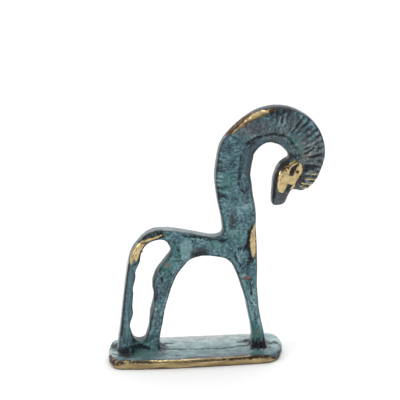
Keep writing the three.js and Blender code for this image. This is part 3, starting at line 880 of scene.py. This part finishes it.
def polish_depth(points, normals):
    """Depth inside the polished areas in millimetres: above zero is bare metal."""
    side = side_view(points)
    x, y, z = points.T
    facing = 4 * np.abs(normals[:, 1])
    eye = eye_distance(points) - EYE_RADIUS
    cheek = np.minimum.reduce([depth_inside(side, CHEEK_PATCH), -depth_inside(side, BROW_HOLLOW), eye])
    breaks = 0.35 * noise_field(points, "streak_breaks")
    streaks = [2 * (TIP_STREAK_WIDTH - path_distance(side, path)) + breaks for path in TIP_STREAKS]
    patches = [depth_inside(side, patch) for patch in (LIP_SLIVER, CHEST_PATCH)]
    flat = np.maximum.reduce([cheek] + patches + streaks)
    rump = np.minimum(depth_inside(side, RUMP_PATCH), facing - 0.8)
    far_limit = np.interp(x, *zip(*CREST_FAR_LIMIT))
    crest = np.minimum(depth_inside(side, CREST_PATCH), far_limit - y)
    polish = np.maximum.reduce([np.minimum(flat, facing - 2.2), rump, crest])
    middle_length, middle_width = PLINTH_MIDDLE
    outside = (np.abs(y) > middle_width) | (np.abs(x) > middle_length)
    side_face = outside & (np.hypot(normals[:, 0], normals[:, 1]) > 0.2)
    plinth = np.where(side_face, np.minimum(plinth_bands(points)[0] - z, z - FOOT_LINE), -1)
    return np.clip(np.where(over_plinth(points, 0.5), polish, plinth), -1, 1)


def browned_share(points, normals):
    """Share of brown toning on the bare metal: strong on the crest's rim and light on the plinth's side."""
    x, _, z = points.T
    turned = 0.83 - 0.33 * ease(x, 18, 26)
    crest = ease(turned - np.abs(normals[:, 1]), 0, 0.2) * ease(CREST_RIGHT - x, 0, 6) * (z > CREST_FOOT)
    flecks = 1 + 0.12 * noise_field(points, "browned_flecks")
    clouds = 0.05 + 0.12 * noise_field(points, "browned_clouds")
    marks = 0.32 + 0.16 * noise_field(points, "plinth_toning")
    plinth = np.maximum(ease(0.5 - z, 0, 0.3), marks)
    return np.clip(np.where(over_plinth(points, 0.2), np.maximum(crest * flecks, clouds), plinth), 0, 1)


def crust_share(points):
    """Share of dark brown oxide in its band along the plinth's side, flecked with bare metal."""
    _, low, high = plinth_bands(points)
    depth = np.minimum(points[:, 2] - low, high - points[:, 2])
    flecks = 1 + 0.4 * noise_field(points, "crust_flecks")
    return ease(depth, -0.2, 0.2) * np.clip(flecks, 0, 1) * ~over_plinth(points, 0.2)


def corner_share(normals, reach, softness):
    """1 on the corners between the sides and the rims."""
    return ease(reach - np.abs(np.abs(normals[:, 1]) - CORNER_TURN), 0, softness)


def soften_corners(piece):
    """Rounds off the mane's ribs, some corners of the outline, the feet and the worn edges."""
    points, _ = surface_of(piece)
    _, normals = over_smooth(piece, BASE_ROUNDS)
    x, y, z = points.T
    corners = np.maximum.reduce([
        ease(1.5 - np.hypot(x - corner_x, z - corner_z) / radius, 0, 0.8)
        for corner_x, corner_z, radius in ROUNDED_CORNERS])
    feet_length, feet_width = FEET_AREA
    on_middle = (np.abs(y) < feet_width) & (np.abs(x) < feet_length)
    feet = on_middle * ease(1.4 - np.abs(z - PLINTH_TOP - 0.6) / FOOT_ROUNDING, 0, 0.8)
    brow = path_distance(side_view(points), BROW_EDGE)
    shares = {
        "ribs": mane_share(points) * facing_side(normals),
        "corners": corners,
        "feet": feet,
        "worn": worn_share(points),
        "rims": corner_share(normals, 0.4, 0.2) * over_plinth(points, 1),
        "brow": ease(1.6 - brow, 0, 0.6),
    }
    for name, share in shares.items():
        set_group(piece, name, share)
        apply_modifier(piece, "SMOOTH", factor=0.5, iterations=SOFTENING_ROUNDS[name], vertex_group=name)


def surface_relief(points, normals, settings, smooth, streaks):
    """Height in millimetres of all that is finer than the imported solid, and of the sunk marks alone."""
    x, _, z = points.T
    metal = ease(polish_depth(points, normals), 0, 0.5)
    tarnish = stain_share(points, "tarnish", 0)
    worked = metal * (WORKED_HEIGHT + TARNISH_HEIGHT * tarnish) * noise_field(points, "worked_metal")
    on_top = ease(normals[:, 2], 0.8, 0.97) * ~over_plinth(points, 1)
    ground = GROUND_HEIGHT * on_top * noise_field(points, "plinth_ground")
    filed = FILED_HEIGHT * metal * (z < PLINTH_TOP) * noise_field(points, "file_marks")
    lumps = noise_field(points, "soft_lumps", settings.lump_size / MM)
    skin = (settings.lump_height * lumps + settings.pit_height * streaks) / MM
    faces_slot = ease(normals[:, 0] * np.sign(SLOT_MIDDLE - x), 0.3, 0.8) * ease(SLOT_RIGHT - x, 0, 3)
    knobs = KNOB_HEIGHT * in_openings(points) * faces_slot * noise_field(points, "slot_knobs")
    marks = tool_marks(points, normals)
    ribs = rib_grooves(points, normals)
    sunk = 0.9 * np.minimum(marks, 0) * np.where(over_plinth(points, 1), 1, 2.8) - 0.7 * ribs
    relief = marks - ribs + worked + filed + knobs + (1 - metal) * (ground + (1 - 0.8 * smooth) * skin)
    return relief * ease(z, 0, 0.6), sunk


def surface_tone(points, normals, zones, stains, streaks, height, sunk):
    """Tone of the patina, with painted light and shade laid in: 0 in the deepest recesses and 1 where it is
    chalky.
    """
    tone = 0.47 + 0.04 * streaks + 1.6 * height + 0.05 * noise_field(points, "tone_clouds")
    for share, zone_tone in zones:
        tone += share * (zone_tone - tone)
    # Painted shade: the corners where the sides turn into the rims are darkened by the way they face.
    corner = corner_share(normals, 0.3, 0.25) * over_plinth(points, 1.5)
    on_plinth = over_plinth(points, -0.6) & ~over_plinth(points, 0.5)
    edge_line = on_plinth * np.exp(-((points[:, 1] - EDGE_LINE_Y) / EDGE_LINE_WIDTH) ** 2)
    return tone + (sunk - 0.27 * corner - 0.25 * edge_line + 0.2 * stains["pale"] - 0.16 * stains["shade"])


def build_casting(settings):
    """The visible casting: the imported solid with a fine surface, tool marks and cast skin."""
    piece = merged_copy(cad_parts[CASTING_NODE], "horse_casting")
    apply_modifier(piece, "REMESH", mode="VOXEL", voxel_size=settings.grain, adaptivity=0.0)
    even_out(piece, settings.evening)
    soften_corners(piece)

    points, _ = surface_of(piece)
    _, normals = over_smooth(piece, BASE_ROUNDS)
    zones = smooth_zones(points, normals)
    smooth = np.maximum.reduce([share for share, _ in zones])
    streaks = streak_noise(points)
    relief, sunk = surface_relief(points, normals, settings, smooth, streaks)
    raise_surface(piece, relief)

    height, _ = over_smooth(piece, HEIGHT_ROUNDS)
    points, _ = surface_of(piece)
    edge_noise = 0.4 * noise_field(points, "stain_border")
    stains = {kind: stain_share(points, kind, edge_noise) for kind in BLOTCHES}
    rims = ease(0.6 - np.abs(normals[:, 1]), 0, 0.3) * over_plinth(points, 1.5)
    # Painted reflection: the rims outside the openings are greyed, like the pale grey sheen they mirror.
    stains["ash_and_sheen"] = np.maximum(stains["ash_and_sheen"], 0.65 * rims * ~in_openings(points))
    tarnish = stains["tarnish"] * (0.3 + 0.4 * noise_field(points, "tarnish_border"))
    fields = {
        "tone": surface_tone(points, normals, zones, stains, streaks, height, sunk),
        "gloss": smooth - stains["dirt_and_shade"],
        "polish": polish_depth(points, normals) - tarnish,
        "browned": browned_share(points, normals),
        "crust": crust_share(points),
        **stains,
    }
    for name in FIELDS:
        set_attribute(piece, name, fields[name])
    piece.vertex_groups.clear()
    select_only(piece)
    bpy.ops.object.shade_smooth()
    return piece


# Materials

def add_node(tree, kind, inputs=None, output=0, **settings):
    """Adds a node and gives one of its outputs. Each input takes a value, or the output that feeds it."""
    node = tree.nodes.new("ShaderNode" + kind)
    for name, value in settings.items():
        setattr(node, name, value)
    for key, value in (inputs or {}).items():
        if isinstance(value, bpy.types.NodeSocket):
            tree.links.new(value, node.inputs[key])
        else:
            node.inputs[key].default_value = value
    return node.outputs[output]


def patina_grain(tree, place):
    """Light and dark grain of the patina, from a few noises laid over each other."""
    total = 0.0
    for size, detail, start, end, change_low, change_high in PATINA_GRAIN:
        cloud = add_node(tree, "TexNoise", {
            "Vector": place, "Scale": 1 / (size * MM), "Detail": detail, "Roughness": 0.65,
            "Distortion": 1.2})
        change = add_node(tree, "MapRange", {
            "Value": cloud, "From Min": start, "From Max": end, "To Min": change_low, "To Max": change_high})
        total = add_node(tree, "Math", {0: total, 1: change}, operation="ADD")
    return total


def patina_colour(tree, fields, place, speckle, settings):
    """Colour of the patina: a ramp over its tone, then the stains, then the ashy places and the painted grey
    sheen.
    """
    quieter = add_node(tree, "MapRange", {"Value": fields["gloss"], "To Min": 1.0, "To Max": 0.5})
    grain = add_node(tree, "Math", {0: patina_grain(tree, place), 1: quieter}, operation="MULTIPLY")
    tone = add_node(tree, "Math", {0: fields["tone"], 1: grain}, operation="ADD")
    colour = add_node(tree, "ValToRGB", {"Fac": tone})
    stops = colour.node.color_ramp.elements
    stops.remove(stops[1])
    shades = (settings.deep, settings.dark, settings.middle, settings.light, settings.chalk)
    for number, shade in enumerate(shades):
        stop = stops.new(number / (len(shades) - 1)) if number else stops[0]
        stop.color = (*shade, 1)
    flecked = add_node(tree, "MapRange", {
        "Value": speckle, "From Min": 0.35, "From Max": 0.55, "To Min": 0.4, "To Max": 1.0})
    for name in STAINS:
        share = add_node(tree, "Math", {0: fields[name], 1: flecked}, operation="MULTIPLY")
        stain = (*getattr(settings, name), 1)
        colour = add_node(tree, "Mix", {0: share, 6: colour, 7: stain}, output=2, data_type="RGBA")
    colourful = add_node(tree, "MapRange", {"Value": fields["ash_and_sheen"], "To Min": 1.0, "To Max": 0.15})
    return add_node(tree, "HueSaturation", {"Saturation": colourful, "Color": colour})


def bare_metal_colour(tree, fields, depth, speckle, settings):
    """Colour of the bare metal: brown along its border and where it is tarnished, dark under the oxide."""
    border = add_node(tree, "MapRange", {
        "Value": depth, "From Min": 0.0, "From Max": 0.22, "To Min": 0.8, "To Max": 0.0})
    mottled = add_node(tree, "MapRange", {"Value": speckle, "From Min": 0.35, "From Max": 0.5})
    tarnish = add_node(tree, "Math", {0: fields["tarnish"], 1: mottled}, operation="MULTIPLY")
    toned = add_node(tree, "Math", {0: border, 1: tarnish}, operation="MAXIMUM")
    toned = add_node(tree, "Math", {0: toned, 1: fields["browned"]}, operation="MAXIMUM")
    layers = ((toned, settings.browned), (fields["crust"], settings.crust))
    colour = (*settings.brass, 1)
    for share, layer in layers:
        colour = add_node(tree, "Mix", {0: share, 6: colour, 7: (*layer, 1)}, output=2, data_type="RGBA")
    return colour


def patinated_bronze(settings):
    """Cast bronze with a blue-green chemical patina, rubbed back to bare metal on its edges.

    The patina is a dull coat that lies dark in the recesses and pale on high places. The bare metal is a
    true mirror-like metal with fine scratches.
    """
    material = bpy.data.materials.new("patinated_cast_bronze")
    material.use_nodes = True
    tree = material.node_tree
    shader = tree.nodes["Principled BSDF"]
    place = add_node(tree, "TexCoord", output="Object")
    fields = {name: add_node(tree, "Attribute", output="Fac", attribute_name=name) for name in FIELDS}
    speckle, scratches = (
        add_node(tree, "TexNoise", {
            "Vector": place, "Scale": 1 / (size * MM), "Detail": detail, "Roughness": 0.65})
        for size, detail in (SPECKLE_NOISE, SCRATCH_NOISE)
    )

    # Bare metal begins where its depth, frayed by the speckle, passes zero. Dark oxide lies round it.
    ragged = add_node(tree, "MapRange", {
        "Value": speckle, "From Min": 0.3, "From Max": 0.7, "To Min": -0.35, "To Max": 0.35})
    depth = add_node(tree, "Math", {0: fields["polish"], 1: ragged}, operation="ADD")
    metal = add_node(tree, "MapRange", {"Value": depth, "From Min": -0.06, "From Max": 0.08})
    dark_rim = add_node(tree, "MapRange", {
        "Value": depth, "From Min": -0.4, "From Max": -0.1, "To Max": 0.7})
    patina = patina_colour(tree, fields, place, speckle, settings)
    oxide = (*settings.crust, 1)
    colour = add_node(tree, "Mix", {0: dark_rim, 6: patina, 7: oxide}, output=2, data_type="RGBA")
    bare = bare_metal_colour(tree, fields, depth, speckle, settings)
    colour = add_node(tree, "Mix", {0: metal, 6: colour, 7: bare}, output=2, data_type="RGBA")

    # Smooth places and clean metal are glossy. Toned metal is rougher, and less of a mirror.
    gloss = add_node(tree, "MapRange", {
        "Value": fields["gloss"], "From Min": -1.0, "From Max": 1.0, "To Min": 0.9, "To Max": 0.28})
    toned = add_node(tree, "Math", {0: fields["browned"], 1: fields["crust"]}, operation="MAXIMUM")
    polished = add_node(tree, "MapRange", {"Value": toned, "To Min": 0.14, "To Max": 0.6})
    roughness = add_node(tree, "Mix", {"Factor": metal, "A": gloss, "B": polished})
    clean = add_node(tree, "MapRange", {"Value": toned, "From Min": 0.5, "To Min": 1.0, "To Max": 0.1})
    metallic = add_node(tree, "Math", {0: metal, 1: clean}, operation="MULTIPLY")
    height = add_node(tree, "Math", {0: speckle, 1: scratches}, operation="ADD")
    strength = add_node(tree, "MapRange", {"Value": fields["gloss"], "To Min": 0.4, "To Max": 0.12})
    bump = add_node(tree, "Bump", {"Distance": BUMP_HEIGHT, "Height": height, "Strength": strength})

    tree.links.new(colour, shader.inputs["Base Color"])
    tree.links.new(metallic, shader.inputs["Metallic"])
    tree.links.new(roughness, shader.inputs["Roughness"])
    tree.links.new(bump, shader.inputs["Normal"])
    shader.inputs["Specular IOR Level"].default_value = 0.35
    return material


def studio_floor_paint(board):
    """Matt white board: bright, with no gloss."""
    material = bpy.data.materials.new("matt_white_board")
    material.use_nodes = True
    shader = material.node_tree.nodes["Principled BSDF"]
    shader.inputs["Base Color"].default_value = (*board, 1)
    shader.inputs["Roughness"].default_value = 0.9
    shader.inputs["Specular IOR Level"].default_value = 0.0
    return material


# Stage

def add_floor(board):
    """Floor just under the plinth, so that the two don't touch."""
    bpy.ops.object.select_all(action="DESELECT")
    bpy.ops.mesh.primitive_plane_add(size=FLOOR_SIZE, location=(0, 0, -FLOOR_GAP))
    floor = bpy.context.active_object
    floor.name = "studio_floor"
    floor.data.materials.append(studio_floor_paint(board))


def turn_towards(way):
    """Turn of a lamp or camera that looks that way."""
    return Vector(way).to_track_quat("-Z", "Y").to_euler()


def add_lamp(name, kind, strength, place, way):
    lamp = bpy.data.lights.new(name, kind)
    lamp.energy = strength
    holder = bpy.data.objects.new(name, lamp)
    bpy.context.scene.collection.objects.link(holder)
    holder.location = place
    holder.rotation_euler = turn_towards(way)
    return holder


def add_overhead_light(strength, width):
    """Very broad and distant light from above and behind, so that its shadow falls softly to the front."""
    add_lamp("overhead_light", "SUN", strength, (0, 0, 0), OVERHEAD_WAY).data.angle = width


def add_softbox(name, power):
    """Rectangular softbox, out of the camera's sight. Bare metal mirrors it as a bright streak."""
    size, place, aim = SOFTBOXES[name]
    holder = add_lamp(name, "AREA", power, place, Vector(aim) - Vector(place))
    holder.visible_camera = False
    holder.data.shape = "RECTANGLE"
    holder.data.size, holder.data.size_y = size


def white_room(settings):
    """World that is brighter behind, above and beside the statuette than in front.

    The camera sees it as white as the floor.
    """
    world = bpy.data.worlds.new("white_room")
    world.use_nodes = True
    tree = world.node_tree
    background = tree.nodes["Background"]
    background.inputs["Color"].default_value = (1, 1, 1, 1)
    direction = add_node(tree, "TexCoord", output="Generated")
    way = add_node(tree, "SeparateXYZ", {"Vector": direction}).node.outputs
    walls = (("Y", -0.2, 0.9, settings.back_glow), ("Z", 0.35, 0.9, settings.back_glow),
             ("X", -0.3, -0.9, settings.side_glow))
    glow = settings.surroundings
    for axis, start, end, strength in walls:
        wall = add_node(tree, "MapRange", {
            "Value": way[axis], "From Min": start, "From Max": end,
            "To Min": settings.surroundings, "To Max": strength})
        glow = add_node(tree, "Math", {0: glow, 1: wall}, operation="MAXIMUM")
    seen = add_node(tree, "LightPath", output="Is Camera Ray")
    strength = add_node(tree, "Mix", {"Factor": seen, "A": glow, "B": 1.0})
    tree.links.new(strength, background.inputs["Strength"])
    bpy.context.scene.world = world


def add_camera(settings):
    turn, rise = settings.azimuth, settings.elevation
    back = Vector((math.sin(turn) * math.cos(rise), -math.cos(turn) * math.cos(rise), math.sin(rise)))
    data = bpy.data.cameras.new("camera")
    data.sensor_width = SENSOR_WIDTH
    data.lens = settings.lens
    data.clip_start, data.clip_end = CAMERA_RANGE
    camera = bpy.data.objects.new("camera", data)
    bpy.context.scene.collection.objects.link(camera)
    camera.location = CAMERA_TARGET + back * settings.distance
    camera.rotation_euler = turn_towards(-back)
    bpy.context.scene.camera = camera


class STATUETTE_OT_casting(bpy.types.Operator):
    """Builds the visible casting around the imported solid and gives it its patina"""
    bl_idname = "statuette.casting"
    bl_label = "Build the casting"

    def execute(self, context):
        piece = build_casting(context.scene.statuette_casting)
        piece.data.materials.append(patinated_bronze(context.scene.statuette_patina))
        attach(piece, "root")
        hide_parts(CASTING_NODE)
        return {"FINISHED"}


class STATUETTE_OT_stage(bpy.types.Operator):
    """Sets up the pale floor, the soft light and the camera"""
    bl_idname = "statuette.stage"
    bl_label = "Build the stage"

    def execute(self, context):
        settings = context.scene.statuette_stage
        add_floor(settings.board)
        white_room(settings)
        add_softbox("side_softbox", settings.side_power)
        add_softbox("front_strip", settings.strip_power)
        add_overhead_light(settings.sky_power, settings.sky_width)
        add_camera(settings)
        context.scene.view_settings.view_transform = "Standard"
        return {"FINISHED"}


class STATUETTE_PT_panel(bpy.types.Panel):
    """Lists the statuette's settings and its builders"""
    bl_label = "Bronze horse statuette"
    bl_idname = "STATUETTE_PT_panel"
    bl_space_type = "VIEW_3D"
    bl_region_type = "UI"
    bl_category = "Statuette"

    def draw(self, context):
        for name in SETTINGS:
            group = getattr(context.scene, name)
            box = self.layout.box()
            for key in group.bl_rna.properties.keys():
                if key not in ("rna_type", "name"):
                    box.prop(group, key)
        self.layout.operator(STATUETTE_OT_casting.bl_idname)
        self.layout.operator(STATUETTE_OT_stage.bl_idname)


SETTINGS = {
    "statuette_casting": StatuetteCastingSettings,
    "statuette_patina": StatuettePatinaSettings,
    "statuette_stage": StatuetteStageSettings,
}
CLASSES = (*SETTINGS.values(), STATUETTE_OT_casting, STATUETTE_OT_stage, STATUETTE_PT_panel)


def register():
    for cls in CLASSES:
        bpy.utils.register_class(cls)
    for name, cls in SETTINGS.items():
        setattr(bpy.types.Scene, name, bpy.props.PointerProperty(type=cls))


def unregister():
    for name in SETTINGS:
        delattr(bpy.types.Scene, name)
    for cls in reversed(CLASSES):
        bpy.utils.unregister_class(cls)


def main():
    register()
    bpy.ops.statuette.casting()
    bpy.ops.statuette.stage()


if __name__ == "__main__":
    main()
